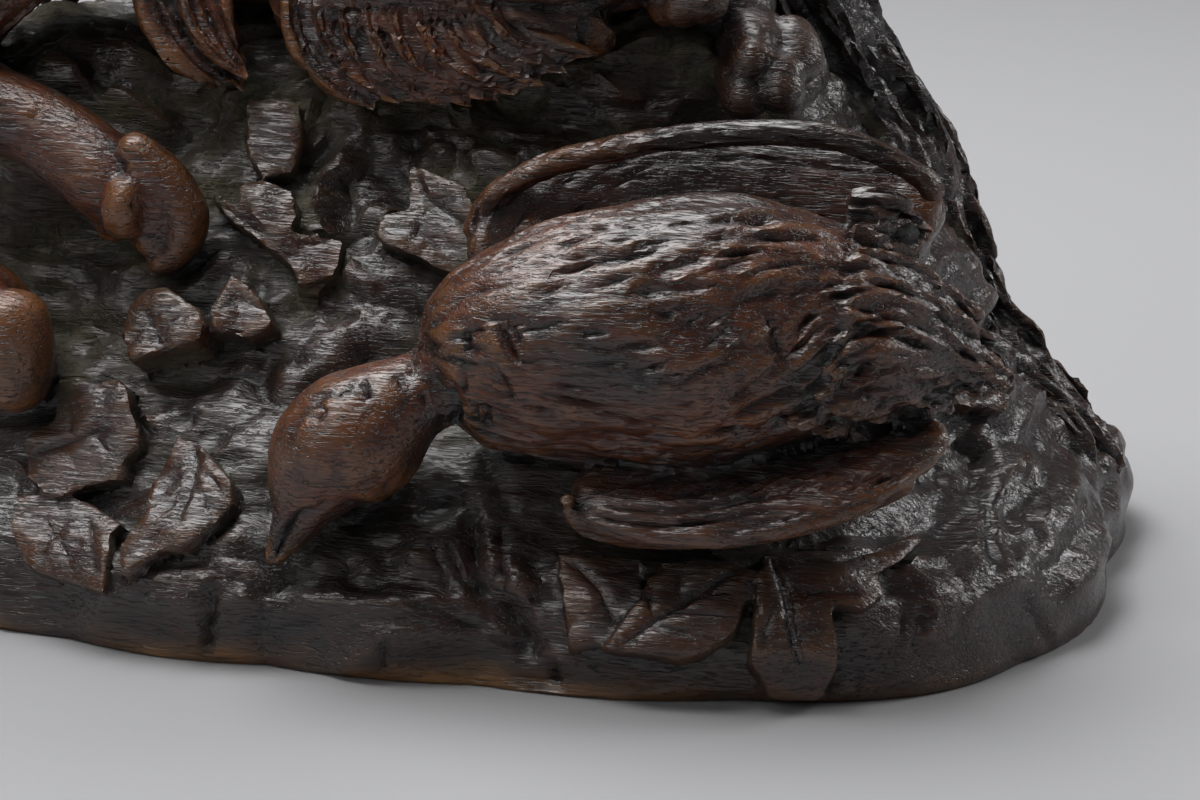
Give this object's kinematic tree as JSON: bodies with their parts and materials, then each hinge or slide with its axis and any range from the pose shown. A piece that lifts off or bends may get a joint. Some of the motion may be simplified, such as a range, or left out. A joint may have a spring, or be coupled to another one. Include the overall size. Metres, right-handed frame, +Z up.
{
  "type": "carved wooden dog group",
  "caption": "Long-haired hunting dog lying on a rocky, leaf-strewn mound above a dead game bird, carved from one block of dark stained wood.",
  "frame": {"origin": "middle of the mound's flat underside", "axes": "+X towards the dog's tail, along the mound's length; -Y towards the side with the bird; +Z up"},
  "size_m": [0.349, 0.2163, 0.2806],
  "materials": {
    "stained_wood": "dark brown stain under a worn wax gloss"
  },
  "bodies": {
    "root": {"carving": "stained_wood"}
  },
  "joints": []
}
